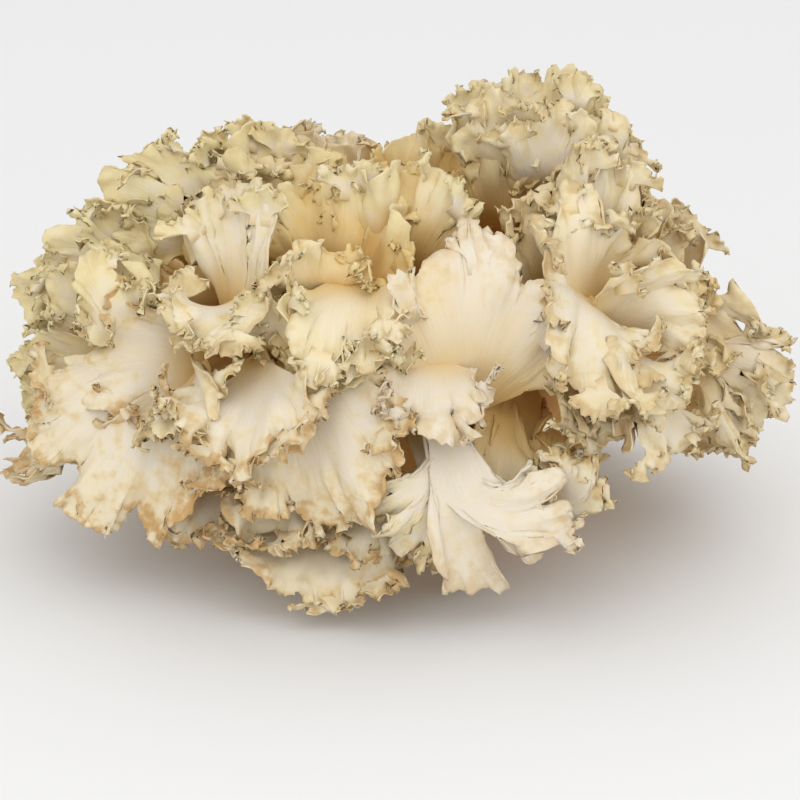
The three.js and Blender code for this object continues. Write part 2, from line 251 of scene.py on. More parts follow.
# %% [markdown]
# ## The frond tree
#
# On a real frond the flesh near the margin grows faster than the flesh behind it. There isn't
# room for it in a flat fan, so it buckles: first into a few large waves, then into frills
# across those waves, and last into a crisp edge. The tree does the same in that order, and
# each step moves the points along the surface that the step before it left. A simulation of
# growth would give the same folds, but slowly, and without control over where a frond goes.

# %% Inputs of the frond tree
INPUTS = [
    ("Heart", "NodeSocketVector"),  # where the strap starts, inside the head
    ("Root", "NodeSocketVector"),  # where the strap becomes the fan
    ("Knee", "NodeSocketVector"),  # what the midrib is drawn towards
    ("Tip", "NodeSocketVector"),
    ("Facing", "NodeSocketVector"),  # where the outer face looks
    ("Half Width", "NodeSocketFloat"),
    ("Strap", "NodeSocketFloat"),  # half width at the root
    ("Flare", "NodeSocketFloat"),  # a higher one widens later
    ("Drop", "NodeSocketFloat"),  # how far the ends of the margin fall back
    ("Lift", "NodeSocketFloat"),  # how far the sides rise towards the outer face
    ("Lobes", "NodeSocketFloat"),
    ("Cleft", "NodeSocketFloat"),  # depth of the cuts between lobes
    ("Teeth", "NodeSocketFloat"),
    ("Tooth Depth", "NodeSocketFloat"),
    ("Waves", "NodeSocketFloat"),
    ("Ruffle", "NodeSocketFloat"),  # height of the large waves
    ("Frill", "NodeSocketFloat"),  # height of the frills across them
    ("Crisp", "NodeSocketFloat"),  # height of the crisp edge
    ("Crumple", "NodeSocketFloat"),  # depth of the soft dents
    ("Wrinkle", "NodeSocketFloat"),  # depth of the small dents near the margin
    ("Strap Thickness", "NodeSocketFloat"),
    ("Margin Thickness", "NodeSocketFloat"),
    ("Seed", "NodeSocketFloat"),
    ("Columns", "NodeSocketInt"),
    ("Rows", "NodeSocketInt"),
    ("Yellow", "NodeSocketFloat"),  # colour of the margin, read by the material
    ("Ochre", "NodeSocketFloat"),
    # Pale also lightens the painted shade at a frond's base, and below 0 deepens it
    ("Pale", "NodeSocketFloat"),
    ("Outer", "NodeSocketFloat"),  # how much of the margin's tint it has all over
    ("Flesh", "NodeSocketMaterial"),
]
STRAP_SHARE = 0.3  # length of the sunk strap along a frond, against its fan
FAN_HALF_ANGLE = 1.75  # radians from the midrib round to the end of the margin


def new_tree(name, inputs):
    tree = bpy.data.node_groups.new(name, "GeometryNodeTree")
    tree.is_modifier = True
    tree.interface.new_socket("Geometry", in_out="OUTPUT", socket_type="NodeSocketGeometry")
    for label, kind in inputs:
        tree.interface.new_socket(label, in_out="INPUT", socket_type=kind)
    entry = tree.nodes.new("NodeGroupInput")
    given = {label: Field(tree, entry.outputs[label]) for label, _ in inputs}
    return tree, given


print("inputs of a frond:", len(INPUTS))

# %% [markdown]
# The grid's own X and Y become `across`, from -1 to 1 over the fan, and `along`, from the
# strap's sunk end below 0 through the root at 0 to the margin at 1. They are stored as
# attributes, because the positions they came from are about to change. The rows lie closer
# together towards the margin, where the detail is.

# %% The grid and its attributes
ROW_CROWDING = 1.6  # 1 spaces the rows evenly


def stored(tree, geometry, name, value):
    node = tree.nodes.new("GeometryNodeStoreNamedAttribute")
    node.data_type = "FLOAT"
    node.domain = "POINT"
    node.inputs["Name"].default_value = name
    tree.links.new(geometry, node.inputs["Geometry"])
    feed(tree, value, node.inputs["Value"])
    return node.outputs["Geometry"]


def named(tree, name):
    node = tree.nodes.new("GeometryNodeInputNamedAttribute")
    node.data_type = "FLOAT"
    node.inputs["Name"].default_value = name
    return Field(tree, node.outputs["Attribute"])


def fan_grid(tree, given):
    grid = tree.nodes.new("GeometryNodeMeshGrid")
    grid.inputs["Size X"].default_value = 2
    grid.inputs["Size Y"].default_value = 1
    feed(tree, given["Columns"], grid.inputs["Vertices X"])
    feed(tree, given["Rows"], grid.inputs["Vertices Y"])
    place = tree.nodes.new("ShaderNodeSeparateXYZ")
    position = tree.nodes.new("GeometryNodeInputPosition")
    tree.links.new(position.outputs[0], place.inputs[0])
    to_margin = 0.5 - Field(tree, place.outputs["Y"])
    along = 1 - (1 + STRAP_SHARE) * to_margin ** ROW_CROWDING
    geometry = stored(tree, grid.outputs["Mesh"], "across", Field(tree, place.outputs["X"]))
    geometry = stored(tree, geometry, "along", along)
    for tint in ("Yellow", "Ochre", "Pale", "Outer"):
        geometry = stored(tree, geometry, tint.lower(), given[tint])
    return geometry


print("rows crowd towards the margin by a power of", ROW_CROWDING)

# %% [markdown]
# The outline comes from polar thinking: a point of the fan lies at an angle from the midrib
# and at a share of the way to the margin. Deep clefts cut the margin into lobes, and fine
# blunt teeth fray it. A sine wave of the angle makes both, and the power that it is raised to
# sets how narrow the cuts are.

# %% Outline
NOTCH_SHARPNESS = 2.5
TOOTH_SHARPNESS = 0.45
FINE_TOOTH_SHARPNESS = 0.5
FINE_TEETH = 2.7  # for each tooth
FINE_TOOTH_SHARE = 0.4  # depth, against a tooth's
TEETH_KEEP_TO_MARGIN = 14  # a higher power keeps them nearer to it
TOOTH_NARROWS = 1.2  # how much a cut narrows the fan, against its depth
REACH_STRAYS = 0.07


def outline(given, share, across, fan):
    """How far a point lies along the midrib and aside from it, and the width there."""
    seed = given["Seed"]
    turn = FAN_HALF_ANGLE * across
    lobe = math.pi * share * given["Lobes"] + 0.5 * wander(1.3 * across, seed + 5)
    notch = (1 - lobe.sine().size()) ** NOTCH_SHARPNESS
    reach = 1 - given["Drop"] * (1 - turn.cosine())
    reach = reach * (1 - given["Cleft"] * notch * fan * fan)
    reach = reach * (1 + REACH_STRAYS * wander(4 * across, 1.7 * seed) * fan)

    tooth = math.pi * given["Teeth"] * share + 1.6 * wander(7 * across, 1.9 * seed)
    cut = 1 - tooth.sine().size() ** TOOTH_SHARPNESS
    fine_cut = 1 - (FINE_TEETH * tooth + seed).sine().size() ** FINE_TOOTH_SHARPNESS
    uneven = 0.7 + 0.7 * wander(5.3 * across, 2.7 * seed)
    bite = given["Tooth Depth"] * (cut * uneven + FINE_TOOTH_SHARE * fine_cut)
    bite = bite * fan**TEETH_KEEP_TO_MARGIN
    width = given["Strap"] + (given["Half Width"] - given["Strap"]) * fan ** given["Flare"]
    width = width * (1 - TOOTH_NARROWS * bite)
    return fan * reach - bite, width * turn.sine(), width


print("a fan opens to", round(math.degrees(2 * FAN_HALF_ANGLE)), "degrees")

# %% [markdown]
# The midrib is a curve from root to tip that is drawn towards the knee, and the strap below the
# root runs on into the heart. Both are Bezier curves of three points, because such a curve has
# a short formula and never kinks. Its direction, with the side where the outer face looks,
# gives three axes at each point.

# %% Midrib


def midrib(tree, given, s, strap):
    """The place on the midrib, and the directions forward, to the side and outwards."""
    root, knee, tip, heart = (given[name] for name in ("Root", "Knee", "Tip", "Heart"))
    first = vector(tree, "SUBTRACT", knee, root)
    last = vector(tree, "SUBTRACT", tip, knee)
    bend = total(root, scaled(first, -STRAP_SHARE))
    place = total(
        scaled(root, (1 - s) ** 2 - 1 + strap * strap),
        scaled(knee, 2 * s * (1 - s)),
        scaled(tip, s * s),
        scaled(heart, (1 - strap) ** 2),
        scaled(bend, 2 * strap * (1 - strap)),
    )
    onwards = total(scaled(first, 1 - s), scaled(last, s))
    inwards = vector(tree, "SUBTRACT", bend, heart)
    forward = total(scaled(onwards, strap), scaled(inwards, 1 - strap))
    forward = vector(tree, "NORMALIZE", forward)
    side = vector(tree, "NORMALIZE", vector(tree, "CROSS_PRODUCT", given["Facing"], forward))
    return place, forward, side, vector(tree, "CROSS_PRODUCT", forward, side)


print("the sunk strap is", STRAP_SHARE, "of a fan's length")

# %% [markdown]
# The first and largest waves swing the sheet out and in as it goes across. They also slide it
# to the side, at twice their rate, so a crest is broader than its foot and the folds overhang
# a little, as they do where a real margin is crowded.

# %% Large waves
WAVES_GROW = 2.2  # a higher power keeps the waves nearer to the margin
WAVES_SLIDE = 0.45  # sideways, against the width of a wave


def fan_sheet(tree, given, across, along):
    """Places of the smooth sheet with its large waves, and the direction along the frond."""
    seed = given["Seed"]
    fan = scalar(tree, "MAXIMUM", along, 0.0)
    strap = scalar(tree, "MINIMUM", 1 + along / STRAP_SHARE, 1.0)
    share = (across + 1) * 0.5
    s, aside, width = outline(given, share, across, fan)
    place, forward, side, outwards = midrib(tree, given, s, strap)

    phase = 2 * math.pi * given["Waves"] * share + 2.3 * seed
    phase = phase + 0.9 * wander(1.6 * across, seed) + 0.8 * wander(2.2 * fan, 1.3 * seed)
    rise = fan**WAVES_GROW
    swell = 0.8 + 0.35 * wander(2.1 * across, 3.1 * seed)
    out = given["Ruffle"] * rise * swell * phase.sine()
    sway = -WAVES_SLIDE * rise * (width / (given["Waves"] * math.pi)) * (2 * phase).sine()
    lift = given["Lift"] * aside * aside / given["Half Width"]
    place = total(place, scaled(side, aside + sway), scaled(outwards, out + lift))
    return place, forward, width


print("large waves grow by a power of", WAVES_GROW)

# %% [markdown]
# Frills and the crisp edge stand on the waved surface, so each is moved along the surface's
# own normal, which Blender works out afresh after every Set Position node. A frill also slides
# sideways at twice its own rate. That turns a plain sine wave into a meander with overhanging
# folds, which is what makes a ruffle look crowded.

# %% Frills, crisp edge and crumple
FRILLS_PER_WAVE = 2.6
CRISPS_PER_WAVE = 7.1
FRILLS_GROW = 1.4
FRILLS_SLIDE = 0.75


def moved(tree, geometry, offset=None, position=None):
    node = tree.nodes.new("GeometryNodeSetPosition")
    tree.links.new(geometry, node.inputs["Geometry"])
    if position is not None:
        feed(tree, position, node.inputs["Position"])
    if offset is not None:
        feed(tree, offset, node.inputs["Offset"])
    return node.outputs["Geometry"]


def surface_normal(tree):
    return Field(tree, tree.nodes.new("GeometryNodeInputNormal").outputs[0])


def ruffled(tree, geometry, given, across, along, forward, width, rate, height, reach, drift):
    """One more size of ruffle across the sheet, which grows between the two ends of reach."""
    seed = given["Seed"]
    count = given["Waves"] * rate
    share = (across + 1) * 0.5
    phase = 2 * math.pi * count * share + (1 + rate) * 1.14 * seed
    phase = phase + drift * wander(1.2 * rate * across, 2.1 * seed)
    phase = phase + 0.7 * drift * wander(1.1 * rate * along, seed)
    swell = 0.8 + 0.5 * wander(1.6 * rate * across, 0.7 * seed)
    growth = ramp(along, *reach) ** FRILLS_GROW
    normal = surface_normal(tree)
    sideways = vector(tree, "NORMALIZE", vector(tree, "CROSS_PRODUCT", normal, forward))
    slide = -FRILLS_SLIDE * growth * (width / (count * math.pi)) * (2 * phase).sine()
    rise = height * growth * swell * phase.sine()
    return moved(tree, geometry, offset=total(scaled(normal, rise), scaled(sideways, slide)))


def crumpled(tree, geometry, height, wavelength, growth):
    """Soft dents, from noise in space."""
    noise = tree.nodes.new("ShaderNodeTexNoise")
    noise.inputs["Scale"].default_value = 1 / wavelength
    noise.inputs["Detail"].default_value = 1
    value = Field(tree, noise.outputs[0]) - 0.5
    return moved(tree, geometry, offset=scaled(surface_normal(tree), 2 * height * value * growth))


print("frills and crisps for each wave:", FRILLS_PER_WAVE, CRISPS_PER_WAVE)

# %% [markdown]
# Last, the sheet gets its thickness: thick in the strap, thin at the margin. Extrude Mesh keeps
# the moved copy, the untouched copy is flipped to face the other way, and the two are welded
# along their rims into one closed skin. Before that, what would pass through the floor is bent
# until it lies just above it. A real frond that touches the ground does the same.

# %% Thickness and floor
WELD_DISTANCE = 1e-6
FLOOR_CLEARANCE = 1.5 * MM
FLOOR_SOFTNESS = 3 * MM
MOST_SOFTNESSES_UP = 30.0  # keeps the exponential small enough to work out


def with_thickness(tree, geometry, thickness):
    normal = surface_normal(tree)
    geometry = moved(tree, geometry, offset=scaled(normal, -0.5 * thickness))
    flipped = tree.nodes.new("GeometryNodeFlipFaces")
    tree.links.new(geometry, flipped.inputs[0])
    raised = tree.nodes.new("GeometryNodeExtrudeMesh")
    raised.mode = "FACES"
    raised.inputs["Individual"].default_value = False
    tree.links.new(geometry, raised.inputs["Mesh"])
    feed(tree, normal, raised.inputs["Offset"])
    feed(tree, thickness, raised.inputs["Offset Scale"])
    both = tree.nodes.new("GeometryNodeJoinGeometry")
    tree.links.new(flipped.outputs[0], both.inputs[0])
    tree.links.new(raised.outputs["Mesh"], both.inputs[0])
    welded = tree.nodes.new("GeometryNodeMergeByDistance")
    welded.inputs["Distance"].default_value = WELD_DISTANCE
    tree.links.new(both.outputs[0], welded.inputs[0])
    return welded.outputs[0]


def clear_of_floor(tree, geometry):
    """The geometry with a soft limit under it."""
    position = Field(tree, tree.nodes.new("GeometryNodeInputPosition").outputs[0])
    split = tree.nodes.new("ShaderNodeSeparateXYZ")
    feed(tree, position, split.inputs[0])
    above = (Field(tree, split.outputs["Z"]) - FLOOR_CLEARANCE) / FLOOR_SOFTNESS
    above = scalar(tree, "MINIMUM", above, MOST_SOFTNESSES_UP)
    soft = scalar(tree, "LOGARITHM", 1 + scalar(tree, "EXPONENT", above), math.e)
    joined = tree.nodes.new("ShaderNodeCombineXYZ")
    feed(tree, (soft - above) * FLOOR_SOFTNESS, joined.inputs["Z"])
    return moved(tree, geometry, offset=Field(tree, joined.outputs[0]))


print("fronds stay above", FLOOR_CLEARANCE / MM, "mm")

# %% [markdown]
# The whole tree strings these steps together. Each works between two values of `along`: dents
# start low on the frond, frills halfway up, and the crisp edge only near the margin. Realize
# Instances and Set Material come last, so the result is plain geometry with its finish.

# %% The whole tree
FRILL_REACH = (0.5, 1.08)
CRISP_REACH = (0.72, 1.05)
FRILL_DRIFT = 1.6  # how unevenly the frills are spaced
CRISP_DRIFT = 2.4
DENT_SIZE = 15 * MM
DENT_REACH = (0.0, 0.7)
WRINKLE_SIZE = 5 * MM
WRINKLE_REACH = (0.4, 0.9)


def finished(tree, geometry, material):
    smooth = tree.nodes.new("GeometryNodeSetShadeSmooth")
    tree.links.new(geometry, smooth.inputs["Geometry"])
    real = tree.nodes.new("GeometryNodeRealizeInstances")
    tree.links.new(smooth.outputs[0], real.inputs[0])
    dressed = tree.nodes.new("GeometryNodeSetMaterial")
    tree.links.new(real.outputs[0], dressed.inputs["Geometry"])
    feed(tree, material, dressed.inputs["Material"])
    exit_node = tree.nodes.new("NodeGroupOutput")
    tree.links.new(dressed.outputs[0], exit_node.inputs[0])


def frond_tree():
    tree, given = new_tree("frond", INPUTS)
    geometry = fan_grid(tree, given)
    across, along = named(tree, "across"), named(tree, "along")
    place, forward, width = fan_sheet(tree, given, across, along)
    geometry = moved(tree, geometry, position=place)
    geometry = crumpled(tree, geometry, given["Crumple"], DENT_SIZE, ramp(along, *DENT_REACH))
    for rate, height, reach, drift in (
        (FRILLS_PER_WAVE, given["Frill"], FRILL_REACH, FRILL_DRIFT),
        (CRISPS_PER_WAVE, given["Crisp"], CRISP_REACH, CRISP_DRIFT),
    ):
        geometry = ruffled(
            tree, geometry, given, across, along, forward, width, rate, height, reach, drift
        )
    dented = ramp(along, *WRINKLE_REACH)
    geometry = crumpled(tree, geometry, given["Wrinkle"], WRINKLE_SIZE, dented)
    geometry = clear_of_floor(tree, geometry)
    thinner = given["Margin Thickness"] - given["Strap Thickness"]
    thickness = given["Strap Thickness"] + thinner * ramp(along, 0.0, 1.0)
    finished(tree, with_thickness(tree, geometry, thickness), given["Flesh"])
    return tree


FROND = frond_tree()
print("nodes in the frond tree:", len(FROND.nodes))

# %% [markdown]
# ## Where the fronds go
#
# Each row gives a frond's name, root, knee and tip in millimetres, its half width, and what
# sets it apart. A face of (turn, tilt) in degrees says where its outer side looks: a turn of 0
# is to the front and 90 to the right, and a tilt above 0 is upwards. These places were chosen
# one by one, because a head grows with its neighbours in the way and no formula gives this one.
# The rows are in regions, and each region becomes one object of a size that is easy to handle.

# %% Fronds of the upper left and the upper middle
UPPER_LEFT = [
    ("scallop_outer", (-49, -10, 82), (-64, -20, 103), (-82, -14, 102), 15,
     dict(cleft=0.35, ruffle=2.5, frill=2.2, face=(-10, 30))),
    ("scallop_inner", (-52, -4, 85), (-61, -8, 102), (-70, -10, 106), 14,
     dict(ruffle=2.5, frill=2.2, face=(-10, 20))),
    ("crown", (-37, 2, 75), (-39, -16, 99), (-36, 2, 114), 23,
     dict(cleft=0.2, ruffle=5, drop=0.35, face=(0, 25))),
    ("crown_left", (-43, -6, 84), (-52, -20, 102), (-56, -8, 108), 15,
     dict(face=(-10, 25))),
    ("shoulder", (-67, -12, 68), (-81, -22, 87), (-98, -18, 88), 15,
     dict(cleft=0.35, face=(-30, 20))),
    ("left_end", (-78, -10, 59), (-92, -20, 71), (-108, -18, 73), 13,
     dict(cleft=0.4, face=(-30, 20))),
    ("left_end_behind", (-73, 20, 51), (-91, 28, 60), (-105, 20, 68), 15,
     dict(cleft=0.35, face=(-20, 30))),
    ("hollow_right", (-44, -38, 65), (-43, -52, 91), (-46, -30, 110), 13,
     dict(drop=0.25, cleft=0.35, flare=2.6, strap=5, pale=0.9, yellow=0.5)),
    ("hollow_left", (-66, -42, 64), (-76, -52, 82), (-80, -38, 92), 11, dict(face=(10, 10))),
    ("yellow_frills", (-73, -25, 60), (-82, -40, 77), (-86, -32, 90), 16,
     dict(lobes=4, cleft=0.35, frill=3.2, face=(-20, 15))),
    ("left_leaf", (-69, -24, 43), (-91, -34, 56), (-106, -28, 53), 15,
     dict(lobes=2, face=(-30, 10))),
]
UPPER_MIDDLE = [
    ("middle_sheet", (-18, -25, 69), (-19, -44, 94), (-22, -22, 107), 25,
     dict(cleft=0.2, ruffle=5)),
    ("middle_sheet_right", (-1, -28, 74), (1, -44, 101), (8, -26, 113), 20,
     dict(cleft=0.2, ruffle=4)),
    ("small_frills", (-30, -48, 60), (-30, -64, 78), (-34, -62, 88), 14,
     dict(lobes=4, cleft=0.35, frill=3)),
    ("folded_sheet", (-4, -38, 82), (-9, -66, 78), (-14, -71, 64), 13, dict(frill=3)),
    ("ridge", (4, 10, 76), (9, 2, 96), (12, 12, 111), 20,
     dict(lobes=4, cleft=0.25, face=(0, 20))),
    ("ridge_left", (-9, 8, 78), (-10, 0, 90), (-12, 8, 100), 14, dict(face=(0, 20))),
]
print("upper fronds:", len(UPPER_LEFT), "left,", len(UPPER_MIDDLE), "middle")

# %% [markdown]
# The lower left has the broadest fans, which hang forward with ochre margins. The middle has
# one great pale sheet and below it a smooth frond that forks like an antler. Such smooth fronds
# get few waves, a broad strap, and few lobes or none on their margins.

# %% Fronds of the lower left and the middle
LOWER_LEFT = [
    ("great_fan", (-57, -38, 65), (-71, -66, 53), (-87, -58, 22), 28,
     dict(crest=0.4, crumple=2, cleft=0.12, ruffle=3, waves=2.5, flare=0.9, lift=0.1,
          teeth_apart=1.9, fineness=0.85, ochre=0.9, face=(-20, 15))),
    ("left_finger", (-71, -38, 47), (-85, -40, 40), (-110, -22, 25), 11,
     dict(drop=0.25, lobes=4, cleft=0.35, waves=2, face=(-10, 50))),
    ("left_sheet", (-51, -42, 61), (-68, -60, 69), (-92, -42, 55), 17,
     dict(cleft=0.25, ruffle=3, face=(-25, 20))),
    ("frilled_band", (-38, -55, 66), (-42, -82, 62), (-48, -82, 48), 22,
     dict(lobes=4, cleft=0.25, ruffle=5, frill=3)),
    ("bright_sheet", (-28, -52, 69), (-24, -82, 58), (-13, -80, 29), 24,
     dict(crest=0.4, crumple=2, cleft=0.15, ruffle=4, waves=2, flare=0.9, teeth_apart=1.9,
          fineness=0.8)),
    ("front_fan", (-18, -48, 25), (-23, -74, 18), (-27, -84, 10), 25,
     dict(crest=0.5, lobes=4, cleft=0.12, ruffle=3, waves=2.5, flare=0.8, teeth_apart=1.9,
          fineness=0.8)),
    ("ochre_fan", (-27, -50, 39), (-33, -74, 33), (-37, -74, 20), 15,
     dict(lobes=4, cleft=0.25)),
    ("front_frills", (-8, -52, 39), (-5, -74, 26), (-6, -74, 17), 16,
     dict(lobes=4, cleft=0.25, frill=3)),
    ("front_left_tuft", (-45, -42, 31), (-54, -62, 27), (-60, -62, 18), 11, {}),
    ("front_finger", (19, -45, 18), (19, -60, 13), (18, -62, 4), 7, {}),
]
MIDDLE = [
    ("great_sheet", (13, -48, 46), (19, -78, 72), (18, -48, 103), 25,
     dict(crest=0.5, crumple=2, pale=0.9, cleft=0.15, ruffle=3, waves=1.5, flare=1.8,
          lift=0.1, face=(5, 10))),
    ("antler_palm", (9, -60, 62), (12, -92, 44), (32, -80, 14), 16,
     dict(drop=0.15, lobes=2, ruffle=2, waves=1.5, frill=1.2, crisp=0.6, wrinkle=0.8,
          flare=2.2, strap=5, crumple=1.5, crest=0)),
    ("antler_arm", (10, -74, 46), (24, -92, 30), (45, -78, 41), 11,
     dict(drop=0.15, lobes=4, cleft=0.25, ruffle=2, waves=2, frill=1.3, crisp=0.6,
          wrinkle=0.8, flare=2.6, strap=5, crumple=1.5, crest=0.4, face=(10, 20))),
    ("middle_frills", (7, -55, 70), (8, -80, 67), (8, -82, 55), 14, dict(frill=3)),
    ("deep_strap", (35, -42, 53), (29, -60, 43), (34, -60, 27), 10, dict(lobes=2)),
]
print("lower fronds:", len(LOWER_LEFT), "left,", len(MIDDLE), "middle")

# %% [markdown]
# The tower is the highest frond and stands upright. To the right of it the head comes down in
# shoulders and ends in thin branches with deep clefts.

# %% Fronds of the tower and the right
TOWER = [
    ("tower", (32, 2, 68), (36, -14, 104), (38, 2, 132), 23,
     dict(crest=0.8, lobes=4, cleft=0.12, ruffle=4, flare=1.0, drop=0.22, face=(0, 12))),
    ("tower_right", (50, 8, 70), (52, 0, 98), (51, 6, 112), 15,
     dict(cleft=0.25, face=(12, 15))),
    ("tower_side", (54, 14, 70), (61, 8, 85), (65, 8, 97), 15,
     dict(cleft=0.35, face=(18, 15))),
]
RIGHT = [
    ("right_frills", (50, -35, 70), (51, -50, 93), (53, -30, 105), 20,
     dict(lobes=4, frill=3.2)),
    ("right_frills_inner", (39, -30, 72), (38, -44, 94), (40, -26, 105), 15, dict(frill=3)),
    ("right_shoulder", (59, -8, 67), (68, -18, 85), (77, -10, 93), 18,
     dict(lobes=4, cleft=0.35, face=(25, 15))),
    ("right_shoulder_low", (64, -15, 62), (74, -30, 77), (80, -26, 76), 12,
     dict(cleft=0.35, face=(25, 10))),
    ("dome", (47, -38, 81), (52, -72, 85), (49, -72, 61), 17, dict(ruffle=4)),
    ("curled_lobe", (57, -32, 60), (66, -54, 85), (81, -46, 72), 17,
     dict(cleft=0.25, ruffle=3, face=(20, 15))),
    ("branch_top", (75, -12, 71), (87, -26, 67), (96, -22, 55), 11,
     dict(drop=0.25, cleft=0.5, flare=2.4, face=(20, 10))),
    ("branch_middle", (81, -18, 56), (95, -30, 56), (105, -24, 47), 12,
     dict(drop=0.25, lobes=4, cleft=0.5, flare=1.8, face=(20, 10))),
    ("branch_low", (81, -18, 56), (92, -32, 48), (103, -24, 34), 12,
     dict(drop=0.25, cleft=0.5, flare=1.8, face=(20, 10))),
    ("hanging_frills", (65, -38, 59), (69, -62, 55), (72, -60, 38), 18,
     dict(lobes=4, frill=3)),
    ("hanging_frills_inner", (48, -40, 57), (53, -62, 56), (58, -62, 48), 13,
     dict(cleft=0.35, frill=3)),
    ("shaded_cup", (76, -8, 47), (88, -12, 40), (96, -16, 26), 18,
     dict(cleft=0.2, ruffle=3, face=(20, -5))),
    ("low_flap", (40, -38, 44), (43, -52, 42), (46, -52, 38), 9, {}),
]
print("tower and right fronds:", len(TOWER), len(RIGHT))

# %% [markdown]
# Between the large fronds of a head stand smaller ones, which fill its gaps and stand along
# its crest. They are placed one by one as well, after the others, because each of them fits the
# room that the others leave.

# %% Small fronds in gaps of the near side
# A pale below 0 deepens the painted shade at the base of a frond that stands in a shaded hollow.
IN_GAPS = [
    ("tower_cap_left", (28, -10, 102), (27, -26, 118), (26, -16, 130), 10,
     dict(frill=3, crest=0.6, pale=-0.4, face=(-10, 35))),
    ("tower_cap", (40, -12, 100), (40, -28, 116), (40, -16, 127), 13,
     dict(frill=3, face=(0, 35))),
    ("tower_cap_right", (53, -6, 98), (55, -20, 110), (55, -8, 121), 12,
     dict(frill=3, face=(15, 35))),
    ("tower_front", (48, -14, 76), (52, -34, 98), (54, -22, 116), 16,
     dict(lobes=4, frill=3, face=(10, 20))),
    ("crown_front", (-34, -8, 80), (-32, -26, 96), (-30, -12, 109), 17,
     dict(lobes=4, frill=3, face=(0, 30))),
    ("middle_front", (-20, -38, 78), (-22, -56, 86), (-22, -46, 98), 15,
     dict(frill=3, face=(0, 30))),
    ("ridge_front", (4, -4, 84), (2, -18, 96), (1, -8, 107), 15, dict(frill=3, face=(0, 30))),
    ("ridge_inner", (-16, -8, 82), (-18, -24, 92), (-18, -14, 101), 14,
     dict(frill=3, face=(0, 40))),
    ("tower_front_left", (27, -4, 84), (25, -20, 102), (24, -14, 115), 10,
     dict(frill=3, pale=-0.6, face=(-10, 20))),
    ("crown_front_left", (-48, -14, 80), (-46, -32, 94), (-43, -20, 103), 14,
     dict(frill=3, face=(-10, 30))),
    ("small_frills_left", (-44, -45, 80), (-48, -62, 82), (-59, -64, 79), 15, {}),
    ("folded_sheet_left", (-19, -40, 79), (-21, -62, 75), (-24, -66, 66), 15, {}),
    ("frilled_band_left", (-54, -50, 59), (-56, -72, 61), (-61, -76, 54), 13, {}),
    ("antler_thumb", (10, -76, 44), (9, -88, 34), (-3, -80, 23), 9,
     dict(drop=0.15, frill=1.6, flare=2, pale=0.85, crumple=1.5, crest=0)),
    ("antler_left", (10, -74, 46), (4, -89, 40), (-7, -79, 34), 8,
     dict(drop=0.15, frill=1.6, flare=2, pale=0.85, crumple=1.5, crest=0)),
    ("antler_curl", (40, -66, 34), (47, -78, 38), (48, -70, 47), 9,
     dict(lobes=4, frill=2.4, flare=1.4, ochre=0.6, face=(0, 20))),
    ("deep_fan", (27, -44, 56), (26, -68, 50), (27, -68, 24), 11,
     dict(frill=2, drop=0.25, flare=1.8, strap=5, pale=0.6, crest=0)),
    ("deep_lobe", (46, -44, 62), (50, -68, 56), (52, -66, 43), 9, dict(frill=2, pale=0.5)),
    # This frond lies in a shaded hollow: its ochre and its pale below 0 paint golden shade over
    # all of it.
    ("hollow_floor", (-47, -15, 62), (-52, -28, 76), (-54, -28, 93), 15,
     dict(frill=1.5, pale=-0.6, yellow=0.3, ochre=0.8, crest=0, face=(0, 20))),
    ("pale_flap", (60, -46, 69), (65, -72, 70), (76, -66, 60), 13, {}),
    ("mottled_fan", (-11, -40, 84), (-13, -68, 90), (-17, -78, 68), 15,
     dict(lobes=4, frill=3, pale=0.3, face=(-5, 25))),
]
print("small fronds in gaps:", len(IN_GAPS))

# %% [markdown]
# The photograph doesn't show the far side. Its fronds stand in tiers round the back half:
# large ones first, then small ones between them. A tier says how many fronds it has, where
# round the head it starts and how far apart they stand in degrees, and the sizes of the ellipse
# (to the side, to the back, and its height) on which the roots, knees and tips lie. The seeded
# wander strays each frond a little, so they look grown and come out the same every time. Low
# tiers look upwards and high tiers look down and out, which keeps their straps from twisting.

# %% Fronds of the far side
FAR_TIERS = [
    dict(count=5, first=10, step=40, wide=24, tilt=45, root=(48, 30, 40), knee=(82, 66, 46),
         tip=(92, 76, 17)),
    dict(count=5, first=22, step=36, wide=24, tilt=-35, root=(48, 30, 52), knee=(82, 64, 58),
         tip=(88, 70, 86)),
    dict(count=4, first=26, step=42, wide=24, tilt=-10, root=(36, 20, 66), knee=(56, 42, 84),
         tip=(52, 44, 99)),
    dict(count=4, first=22, step=44, wide=17, tilt=0, root=(24, 14, 78), knee=(34, 27, 92),
         tip=(28, 24, 102)),
]
SMALL_FAR_TIERS = [
    dict(count=5, first=28, step=32, wide=15, tilt=45, root=(36, 24, 24), knee=(58, 44, 26),
         tip=(62, 50, 8)),
    dict(count=6, first=12, step=31, wide=16, tilt=-25, root=(50, 34, 44), knee=(74, 56, 50),
         tip=(76, 60, 66)),
    dict(count=5, first=14, step=37, wide=15, tilt=-15, root=(44, 28, 62), knee=(62, 46, 74),
         tip=(61, 47, 90)),
]
FAR_WANDER = 6  # in degrees round the head, and in millimetres of height
FAR_FINENESS = 0.43
FAR_CREST = 0.6


def far_fronds(name, tiers):
    rows = []
    for tier in tiers:
        for i in range(tier["count"]):
            stray = FAR_WANDER * wander(2 * i, len(rows))
            place = tier["first"] + tier["step"] * i + stray
            turn = math.radians(place)
            points = []
            for end, more in (("root", 0), ("knee", stray / 2), ("tip", stray)):
                side, back, height = tier[end]
                points.append((side * math.cos(turn), back * math.sin(turn), height + more))
            face = (place + 90, tier["tilt"])
            own = dict(lobes=4, fineness=FAR_FINENESS, crest=FAR_CREST, face=face)
            rows.append((f"{name}_{len(rows) + 1}", *points, tier["wide"], own))
    return rows


FAR = far_fronds("far", FAR_TIERS)
SMALL_FAR = far_fronds("small_far", SMALL_FAR_TIERS)
print("far fronds:", len(FAR) + len(SMALL_FAR))

# %% [markdown]
# ## From a row to a frond
#
# The table holds only what is special about a frond. The rest follows from a usual frond.
# Lengths are in millimetres, and the others are counts or shares: fineness scales the grid, and
# crest says how much of the margin bears lobes of its own.

